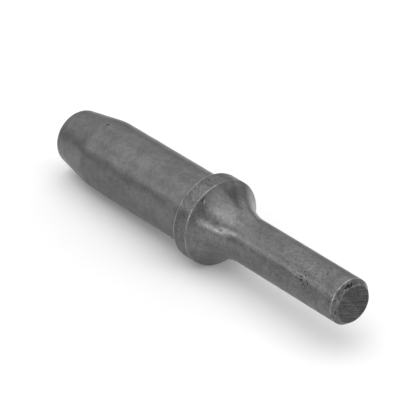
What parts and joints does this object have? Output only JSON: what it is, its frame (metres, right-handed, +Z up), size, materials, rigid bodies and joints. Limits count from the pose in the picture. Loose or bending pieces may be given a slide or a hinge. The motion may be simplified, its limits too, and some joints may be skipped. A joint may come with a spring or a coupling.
{
  "type": "pneumatic rivet set",
  "caption": "Turned steel rivet set for a pneumatic hammer: straight shank, concave neck, retainer collar, round body, tapered nose with a spherical cup for a rivet's head.",
  "frame": {"origin": "centre of the striking face, the flat end of the shank that the hammer's piston hits", "axes": "+X along the tool's axis, out of the striking face, so the nose points to -X; +Z up as the tool lies on a bench; the tool is round about X, so Y and Z are alike"},
  "size_m": [0.0908, 0.0194, 0.0194],
  "materials": {
    "tool_steel": "dark heat-treated turned alloy steel, satin, with fine turning marks and worn edges"
  },
  "bodies": {
    "root": {"rivet_setter": "tool_steel"}
  },
  "joints": []
}
